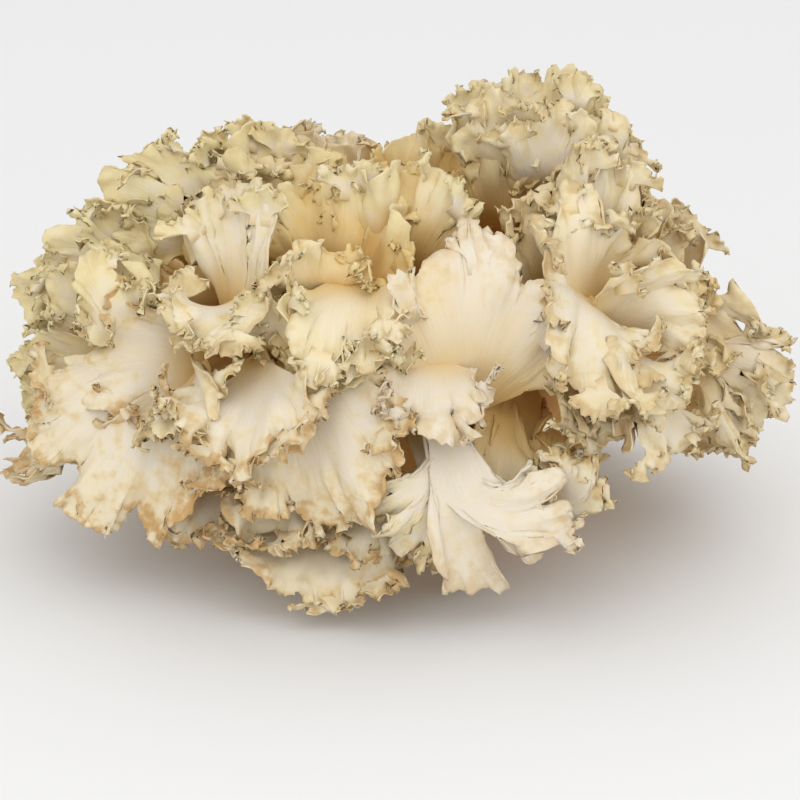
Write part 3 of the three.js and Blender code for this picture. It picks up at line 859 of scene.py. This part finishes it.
# %% A usual frond
USUAL = dict(
    lobes=3, cleft=0.3, strap=4, flare=1.2, drop=0.5, lift=0.15, frill=2.8, crisp=1.1,
    crumple=3.6, wrinkle=2.1, thick=1.7, thin=0.5, yellow=0.4, ochre=0.2, pale=0.5,
    teeth_apart=2.4, bite=2.0, fineness=0.62, crest=1, outer=0,
)
LENGTHS = {  # the tree's name for each length, and the table's
    "Strap": "strap",
    "Ruffle": "ruffle",
    "Frill": "frill",
    "Crisp": "crisp",
    "Crumple": "crumple",
    "Wrinkle": "wrinkle",
    "Strap Thickness": "thick",
    "Margin Thickness": "thin",
}
PLAIN = (
    "flare", "drop", "lift", "lobes", "cleft", "waves", "yellow", "ochre", "pale", "outer",
)
print("a usual margin is", USUAL["thin"], "mm thick")

# %% [markdown]
# Wider fronds carry more waves, and a frond with no stated face looks away from the middle of
# the head. The strap starts inside the heart, so that no frond can hang in the air. The grid
# gets more columns where the margin is long, because its frills need them.

# %% Values of one frond
HEART_CENTRE = Vector((0, 0, 48))
HEART_HALF = Vector((60, 42, 38))
ROOT_SUNK_AT = 0.8  # share of the way from the heart's centre to its surface
LOOK_ASIDE = 0.7  # how much a place to the side turns a frond that way
LOOK_UP = 0.8
LOOK_FROM_HEIGHT = 40  # the height at which a frond looks level
FIRST_SEED = 1
SEED_STEP = 1.37
MM_PER_WAVE = 8  # of the half width
FEWEST_WAVES = 1.5
RUFFLE_SHARE = 0.26  # of the half width
COLUMNS_AT_LEAST = 30
COLUMNS_PER_MM = 2.1
ROWS = 25


def facing(root, knee, tip, face):
    if face:
        turn, tilt = (math.radians(angle) for angle in face)
        level = math.cos(tilt)
        return Vector((math.sin(turn) * level, -math.cos(turn) * level, math.sin(tilt)))
    middle = (root + 2 * knee + tip) / 4
    up = LOOK_UP * (middle.z - LOOK_FROM_HEIGHT)
    return Vector((LOOK_ASIDE * middle.x, middle.y, up)).normalized()


def heart_point(root):
    """Where the strap of a frond starts, inside the heart."""
    out = root - HEART_CENTRE
    level = Vector(o / h for o, h in zip(out, HEART_HALF)).length
    return HEART_CENTRE + out * min(1, ROOT_SUNK_AT / level)


def frond_values(row, index):
    """The inputs of the tree for one row of the table."""
    _, root, knee, tip, half_width, given = row
    root, knee, tip = Vector(root), Vector(knee), Vector(tip)
    waves = max(FEWEST_WAVES, half_width / MM_PER_WAVE)
    own = {**USUAL, "waves": waves, "ruffle": RUFFLE_SHARE * half_width, **given}
    margin = 2 * FAN_HALF_ANGLE * half_width
    length = (knee - root).length + (tip - knee).length
    values = {
        "Heart": own.get("heart", heart_point(root)) * MM,
        "Root": root * MM,
        "Knee": knee * MM,
        "Tip": tip * MM,
        "Facing": own.get("look") or facing(root, knee, tip, own.get("face")),
        "Half Width": half_width * MM,
        "Teeth": margin / own["teeth_apart"],
        "Tooth Depth": own["bite"] / length,
        "Seed": FIRST_SEED + SEED_STEP * index,
        "Columns": int(own["fineness"] * (COLUMNS_AT_LEAST + COLUMNS_PER_MM * margin)),
        "Rows": int(own["fineness"] * ROWS),
    }
    values.update({label: own[name] * MM for label, name in LENGTHS.items()})
    values.update({name.title(): float(own[name]) for name in PLAIN})
    return values


usual_fan = frond_values(("usual", (0, -40, 60), (0, -60, 70), (0, -80, 60), 20, {}), 0)
print("grid of a frond 40 mm wide:", usual_fan["Columns"], "by", usual_fan["Rows"])

# %% [markdown]
# ## Flesh
#
# Dried flesh is matt and slightly fibrous. Its smooth straps are ivory, and its margins turn
# yellow or ochre where they dried first. Golden to orange-brown shade is painted at the base of
# each frond and deep in the head. The tints follow the growth, so the material reads the
# `across` and `along` attributes that the tree stored, and for the painted shade how deep a
# point lies in the head.

# %% Shader helpers


def shader_group(name, inputs, outputs):
    tree = bpy.data.node_groups.new(name, "ShaderNodeTree")
    for label, kind, value in inputs:
        socket = tree.interface.new_socket(label, in_out="INPUT", socket_type=kind)
        socket.default_value = value
    for label, kind in outputs:
        tree.interface.new_socket(label, in_out="OUTPUT", socket_type=kind)
    entry = tree.nodes.new("NodeGroupInput")
    exit_node = tree.nodes.new("NodeGroupOutput")
    given = {label: Field(tree, entry.outputs[label]) for label, _, _ in inputs}
    return tree, given, exit_node


def attribute(tree, name):
    node = tree.nodes.new("ShaderNodeAttribute")
    node.attribute_name = name
    return Field(tree, node.outputs["Fac"])


def noise(tree, place, scale, detail=2.0):
    node = tree.nodes.new("ShaderNodeTexNoise")
    feed(tree, place, node.inputs["Vector"])
    node.inputs["Scale"].default_value = scale
    node.inputs["Detail"].default_value = detail
    return Field(tree, node.outputs[0])


def blended(tree, amount, first, second):
    """From the first colour to the second as amount goes from 0 to 1."""
    node = tree.nodes.new("ShaderNodeMix")
    node.data_type = "RGBA"
    node.clamp_factor = True
    feed(tree, amount, node.inputs["Factor"])
    feed(tree, first, node.inputs[6])
    feed(tree, second, node.inputs[7])
    return Field(tree, node.outputs[2])


print("shader helpers: shader_group, attribute, noise, blended")

# %% [markdown]
# Fine ribs run up each frond. Noise that is stretched along the frond gives them, and it is
# read at `across` and `along` instead of at a place in space, so the ribs bend with the fan.

# %% Fibres
FIBRE_COUNT = 34.0  # across a fan
FIBRE_LENGTHS = 3.0  # along it
FIBRE_DETAIL = 3.0
FIBRE_REACH = (-0.1, 0.5)


def fibre_group():
    """Fine ribs that fan out from the strap, as a height between 0 and 1."""
    tree, given, exit_node = shader_group(
        "fibres",
        [("Count", "NodeSocketFloat", FIBRE_COUNT)],
        [("Height", "NodeSocketFloat")],
    )
    across, along = attribute(tree, "across"), attribute(tree, "along")
    place = tree.nodes.new("ShaderNodeCombineXYZ")
    feed(tree, across * given["Count"], place.inputs["X"])
    feed(tree, along * FIBRE_LENGTHS, place.inputs["Y"])
    ribs = noise(tree, Field(tree, place.outputs[0]), 1.0, FIBRE_DETAIL)
    height = ribs * ramp(along, *FIBRE_REACH)
    tree.links.new(height.socket, exit_node.inputs["Height"])
    return tree


FIBRES = fibre_group()
print("shader group:", FIBRES.name)

# %% [markdown]
# The dried mushroom's own colours are ivory and cream flesh, and margins from yellow through tan
# to ochre. Gold to orange-brown is painted shade, at the base of each frond and in the depths.
# Each tint comes in between two values of what it follows, and the ramps between them are wide,
# because no colour on flesh has a hard edge.

# %% Colours of dried flesh
IVORY = (0.79, 0.71, 0.585, 1)
CREAM = (0.81, 0.70, 0.48, 1)
YELLOW = (0.80, 0.70, 0.36, 1)
TAN = (0.74, 0.57, 0.32, 1)
OCHRE = (0.56, 0.33, 0.11, 1)
# The next two colours are painted shade: gold at the base of each frond and in the head,
# orange-brown deepest inside.
GOLDEN_SHADE = (0.80, 0.56, 0.17, 1)
DEEP_SHADE = (0.58, 0.29, 0.07, 1)
PALE_RANGE = (0.15, 0.75)
YELLOW_RANGE = (0.35, 1.15)  # along the frond, where 1 is the margin
STREAK_RANGE = (0.45, 0.75)  # height of the fibres
TAN_RANGE = (0.62, 1.1)
RIM_RANGE = (0.84, 1.08)
BASE_SHADE_RANGE = (0.0, 0.5)
DEPTH_CENTRE = Vector((0, -8, 48)) * MM  # what the painted shade is centred on
DEPTH_HALF = Vector((98, 67, 66)) * MM  # how far out the painted shade starts
GOLDEN_SHADE_DEPTH = (0.78, 1.06)  # share of the way out
DEEP_SHADE_DEPTH = (0.60, 0.92)
print("tints from ivory", IVORY[:3], "to deep brown", DEEP_SHADE[:3])

# %% [markdown]
# The material mixes these colours in the order in which they arise on the real thing: the pale
# flesh, its mottling and the tint of the margin. Painted shade comes last, at the base of each
# frond and deep inside the head. A few noises at very different scales share the work: broad
# patches, mottling and grain.

# %% The flesh material
BROAD_SCALE = 28.0
MOTTLE_SCALE = 260.0
MOTTLE_DETAIL = 4.0
GRAIN_SCALE = 700.0
GRAIN_DETAIL = 3.0
MOTTLE_SHARE, BROAD_SHARE = 2.2, 1.3  # of the patches
LEAST_ROUGH, ROUGHER_BY_MOTTLE = 0.5, 0.25
GRAIN_BUMP = 0.35
FIBRE_BUMP = 1.5
CRUST_BUMP = 2.0
CRUST_RANGE = (0.5, 1.0)
BUMP_STRENGTH = 0.4
BUMP_DISTANCE = 0.4 * MM


def depth_level(tree, place):
    """How far out a place lies, as a share of the way to where the painted shade starts."""
    inner = vector(tree, "SUBTRACT", place, tuple(DEPTH_CENTRE))
    inner = vector(tree, "DIVIDE", inner, tuple(DEPTH_HALF))
    length = tree.nodes.new("ShaderNodeVectorMath")
    length.operation = "LENGTH"
    feed(tree, inner, length.inputs[0])
    return Field(tree, length.outputs["Value"])


def flesh_material():
    material, shader = new_material("dried_flesh")
    tree = material.node_tree
    place = Field(tree, tree.nodes.new("ShaderNodeTexCoord").outputs["Object"])
    along, pale = attribute(tree, "along"), attribute(tree, "pale")
    yellow, ochre = attribute(tree, "yellow"), attribute(tree, "ochre")
    fibres = tree.nodes.new("ShaderNodeGroup")
    fibres.node_tree = FIBRES
    fibres.inputs["Count"].default_value = FIBRE_COUNT
    fibre = Field(tree, fibres.outputs["Height"])

    mottle = noise(tree, place, MOTTLE_SCALE, MOTTLE_DETAIL)
    broad = noise(tree, place, BROAD_SCALE)
    patches = MOTTLE_SHARE * (mottle - 0.5) + BROAD_SHARE * (broad - 0.5)
    outer = scalar(tree, "MINIMUM", along + attribute(tree, "outer"), 1.0)
    ivory = ramp(0.9 * pale + broad - 0.55 * outer, *PALE_RANGE)
    margin = ramp(outer + patches, *YELLOW_RANGE)
    streak = 0.6 * ramp(fibre, *STREAK_RANGE) * (1 - outer)
    tanned = ramp(outer + 0.8 * patches, *TAN_RANGE)
    rim = ramp(outer + 0.4 * patches, *RIM_RANGE)
    # Painted golden shade at the base of each frond, where it sinks into the head; a pale frond
    # gets less of it.
    base_shade = 0.6 * (1 - ramp(outer, *BASE_SHADE_RANGE)) * (1 - pale)
    level = depth_level(tree, place) + 0.3 * (broad - 0.5)
    colour = CREAM
    for amount, tint in (
        (ivory, IVORY),
        (margin * yellow, YELLOW),
        (streak, CREAM),
        (tanned * ochre, TAN),
        (rim * ochre, OCHRE),
        # The last three blends are painted shade: gold at the base of each frond, then gold and
        # orange-brown deeper in the head.
        (base_shade, GOLDEN_SHADE),
        (0.8 * (1 - ramp(level, *GOLDEN_SHADE_DEPTH)), GOLDEN_SHADE),
        (1 - ramp(level, *DEEP_SHADE_DEPTH), DEEP_SHADE),
    ):
        colour = blended(tree, amount, colour, tint)
    feed(tree, colour, shader.inputs["Base Color"])

    feed(tree, LEAST_ROUGH + ROUGHER_BY_MOTTLE * mottle, shader.inputs["Roughness"])
    bump = tree.nodes.new("ShaderNodeBump")
    bump.inputs["Strength"].default_value = BUMP_STRENGTH
    bump.inputs["Distance"].default_value = BUMP_DISTANCE
    grain = noise(tree, place, GRAIN_SCALE, GRAIN_DETAIL)
    crust = CRUST_BUMP * mottle * ramp(outer, *CRUST_RANGE)
    feed(tree, FIBRE_BUMP * fibre + GRAIN_BUMP * grain + crust, bump.inputs["Height"])
    tree.links.new(bump.outputs["Normal"], shader.inputs["Normal"])
    return material


FLESH = flesh_material()
print("material:", FLESH.name, "with", len(FLESH.node_tree.nodes), "nodes")

# %% [markdown]
# ## Growing the head
#
# A modifier's inputs are set by their identifiers before the object is first evaluated. The
# evaluated result then becomes a plain mesh, and the fronds of one region are joined into one
# object that stands for the plain solid of the frame.

# %% Helpers that grow and join
SOCKETS = {
    item.name: item.identifier
    for item in FROND.interface.items_tree
    if item.in_out == "INPUT"
}


def grown(name, values):
    """One frond as a plain mesh object."""
    piece = bpy.data.objects.new(name, bpy.data.meshes.new(name))
    bpy.context.scene.collection.objects.link(piece)
    modifier = piece.modifiers.new("frond", "NODES")
    modifier.node_group = FROND
    for label, value in {**values, "Flesh": FLESH}.items():
        modifier[SOCKETS[label]] = value
    evaluated = piece.evaluated_get(bpy.context.evaluated_depsgraph_get())
    mesh = bpy.data.meshes.new_from_object(evaluated)
    piece.modifiers.clear()
    piece.data = mesh
    return piece


def joined(name, pieces):
    with bpy.context.temp_override(
        active_object=pieces[0], object=pieces[0], selected_editable_objects=pieces
    ):
        bpy.ops.object.join()
    piece = pieces[0]
    piece.name = name
    piece.data.name = name
    return piece


def triangles(piece):
    return sum(len(face.vertices) - 2 for face in piece.data.polygons)


print("inputs found:", len(SOCKETS))

# %% [markdown]
# The margin of a real frond isn't one line. It bears small lobes of its own, which lean to the
# front and to the back by turns, and their crowding is what hides the rim. So each grown frond
# is asked where its flesh lies near the margin, by the attributes stored on its points, and
# small fronds are rooted there.

# %% Where the flesh of a grown frond lies
SAME_PLACE = 1e-5  # points of the two faces of the sheet share their attributes


class Shape:
    """Where the flesh of a grown frond lies, by its across and along attributes."""

    def __init__(self, piece):
        count = len(piece.data.vertices)
        self.places = np.empty(count * 3, np.float32)
        piece.data.vertices.foreach_get("co", self.places)
        self.places = self.places.reshape(-1, 3)
        self.grown = {}
        for name in ("across", "along"):
            self.grown[name] = np.empty(count, np.float32)
            piece.data.attributes[name].data.foreach_get("value", self.grown[name])

    def at(self, across, along):
        away = np.abs(self.grown["across"] - across) + np.abs(self.grown["along"] - along)
        nearest = away < away.min() + SAME_PLACE
        return Vector(self.places[nearest].mean(axis=0)) / MM


print("points whose attributes differ by less than", SAME_PLACE, "count as one place")

# %% [markdown]
# A lobe is a frond in small, with values of its own: short, wide and strongly frilled. Its
# strap starts below the margin in the flesh that bears it, so the two grow together. How far
# it leans, reaches and turns wanders from one to the next.

# %% Lobes on the margins
LOBE_SPACING = 13
LOBE_PLACES = (0.84, 0.88, 0.95, 1.0)  # along the frond: strap, root, knee and tip
LOBE_HALF_WIDTH = 0.62  # against the spacing
LOBE_REACH = 1.5  # past the margin of the frond that bears it
LOBE_LEAN = 3.0
LOBE_STRAYS = 0.6  # along the margin, against the spacing
LOBE_KNEE_LEAN = 0.35  # of the tip's lean
LOBE_LOOKS_OUT = 0.4
LOBE_SEED_STEP = 0.37
SIDEWAYS_AT = 0.8  # where along the frond its sideways direction is read
SIDEWAYS_STEP = 0.1
LOBE = dict(
    lobes=3, cleft=0.2, strap=3, flare=0.8, drop=0.55, lift=0.2, waves=2.8, ruffle=1.8,
    frill=1.6, crisp=0.7, crumple=1.2, wrinkle=1.5, thick=0.5, thin=0.45, teeth_apart=1.8,
    bite=1.1, fineness=0.4, pale=0.1, outer=0.35,
)


def margin_lobes(piece, half_width, crest, index):
    """Rows for the small fronds on one frond's margin. crest 1 is a full margin of them."""
    shape = Shape(piece)
    count = round(crest * 2 * FAN_HALF_ANGLE * half_width / LOBE_SPACING)
    rows = []
    for i in range(count):
        own = index + LOBE_SEED_STEP * i
        across = -1 + (2 * i + 1) / count + LOBE_STRAYS / count * wander(2.3 * i, own)
        behind, root, near, outer = (shape.at(across, along) for along in LOBE_PLACES)
        out = (outer - root).normalized()
        right = shape.at(min(across + SIDEWAYS_STEP, 1), SIDEWAYS_AT)
        aside = right - shape.at(max(across - SIDEWAYS_STEP, -1), SIDEWAYS_AT)
        normal = out.cross(aside).normalized() * (-1) ** i
        lean = LOBE_LEAN * (0.8 + 0.5 * wander(1.7 * i, own + 3))
        knee = near + normal * LOBE_KNEE_LEAN * lean
        tip = outer + out * LOBE_REACH * (1 + 0.6 * wander(3.1 * i, own)) + normal * lean
        twist = 0.5 * wander(2.9 * i, own + 1)
        look = normal + aside.normalized() * twist + out * LOBE_LOOKS_OUT
        wide = LOBE_SPACING * LOBE_HALF_WIDTH * (1 + 0.5 * wander(1.1 * i, own + 2))
        rows.append((root, knee, tip, wide, dict(heart=behind, look=look.normalized())))
    return rows


print("lobes on a frond 40 mm wide:", round(2 * FAN_HALF_ANGLE * 20 / LOBE_SPACING))

# %% [markdown]
# Now every region grows. Each frond comes first and its lobes after it, and the tints of a
# region go into every row that doesn't state its own: yellow above, ochre at the lower left
# and pale in the middle, as on the photographed head.

# %% Grow every region
# A low pale also gives the bases of a region's fronds more painted shade.
REGIONS = {
    "fronds_upper_left": (UPPER_LEFT, dict(yellow=0.8, ochre=0.15, pale=0.2)),
    "fronds_upper_middle": (UPPER_MIDDLE, dict(yellow=0.7, ochre=0.1, pale=0.35)),
    "fronds_lower_left": (LOWER_LEFT, dict(yellow=0.4, ochre=0.7)),
    "fronds_middle": (MIDDLE, dict(yellow=0.2, ochre=0.3, pale=0.85)),
    "fronds_tower": (TOWER, dict(yellow=0.65, ochre=0.2, pale=0.3)),
    "fronds_right": (RIGHT, dict(yellow=0.5, ochre=0.4)),
    "fronds_far": (FAR, dict(yellow=0.5, ochre=0.3, pale=0.7)),
    "fronds_in_gaps": (IN_GAPS, dict(yellow=0.6, ochre=0.3)),
    "fronds_small_far": (SMALL_FAR, dict(yellow=0.5, ochre=0.3, pale=0.7)),
}
SEED_STEP_ON_MARGIN = 0.61
parts = []
index = 0
for region, (rows, tints) in REGIONS.items():
    fronds = []
    for row in rows:
        frond = grown(row[0], frond_values((*row[:5], {**tints, **row[5]}), index))
        fronds.append(frond)
        crest = row[5].get("crest", USUAL["crest"])
        for number, (*points, wide, own) in enumerate(margin_lobes(frond, row[4], crest, index)):
            lobe = (row[0], *points, wide, {**LOBE, **tints, **own})
            seed_place = index + SEED_STEP_ON_MARGIN * (number + 1)
            fronds.append(grown(row[0], frond_values(lobe, seed_place)))
        index += 1
    part = joined(region, fronds)
    parts.append(part)
    print(region, "fronds:", len(rows), "triangles:", triangles(part))

# %% [markdown]
# ## Heart and stem
#
# Behind the fronds lies the branched heart, seen only as warm shade in the gaps, and below it
# the stem with its flat cut. Sculpted branches would never be seen, so one outline is enough:
# it is turned round a vertical axis, pressed flatter from front to back and lightly fluted.

# %% Heart and stem
STEM_OUTLINE = [  # radius and height
    (0, 0), (24, 0), (27, 9), (42, 24), (57, 42), (60, 56), (50, 71), (29, 82), (0, 86),
]
HEART_SHRINKS = 0.97  # so that it stays behind the fronds' straps
HEART_DEPTH_SHARE = 0.72  # front to back, against its width
ROUND_BELOW, PRESSED_ABOVE = 0, 40  # heights between which it gets flatter
HEART_SIDES = 144
HEART_FLUTE = 0.05  # depth of the flutes, against the radius
FLUTES = 6
FLUTES_DRIFT = 0.02  # how much they wander on the way up


def smooth_step(x, low, high):
    t = min(max((x - low) / (high - low), 0), 1)
    return t * t * (3 - 2 * t)


def heart_and_stem():
    inner = [(radius * HEART_SHRINKS, height) for radius, height in STEM_OUTLINE]
    vertices = []
    for radius, height in inner[1:-1]:
        for side in range(HEART_SIDES):
            turn = 2 * math.pi * side / HEART_SIDES
            pressed = smooth_step(height, ROUND_BELOW, PRESSED_ABOVE)
            flat = 1 + (HEART_DEPTH_SHARE - 1) * pressed
            out = radius * (1 + HEART_FLUTE * wander(FLUTES * turn, FLUTES_DRIFT * height)) * MM
            vertices.append((out * math.cos(turn), out * math.sin(turn) * flat, height * MM))
    rings = len(inner) - 2
    faces = []
    for ring in range(rings - 1):
        for side in range(HEART_SIDES):
            a = ring * HEART_SIDES + side
            b = ring * HEART_SIDES + (side + 1) % HEART_SIDES
            faces.append((a, b, b + HEART_SIDES, a + HEART_SIDES))
    faces.append(tuple(reversed(range(HEART_SIDES))))
    vertices.append((0, 0, inner[-1][1] * MM))
    last = (rings - 1) * HEART_SIDES
    for side in range(HEART_SIDES):
        faces.append((last + side, last + (side + 1) % HEART_SIDES, len(vertices) - 1))
    mesh = bpy.data.meshes.new("heart_and_stem")
    mesh.from_pydata(vertices, [], faces)
    mesh.materials.append(FLESH)
    mesh.shade_smooth()
    piece = bpy.data.objects.new("heart_and_stem", mesh)
    bpy.context.scene.collection.objects.link(piece)
    return piece


parts.append(heart_and_stem())
print("heart and stem triangles:", triangles(parts[-1]))

# %% [markdown]
# ## Back to the frame
#
# Every part rides on the one body of the frame and together they replace its plain solid.

# %% Ride, replace and finish
for part in parts:
    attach(part, "root")
    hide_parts(HEAD)
print("triangles in all:", sum(triangles(part) for part in parts))
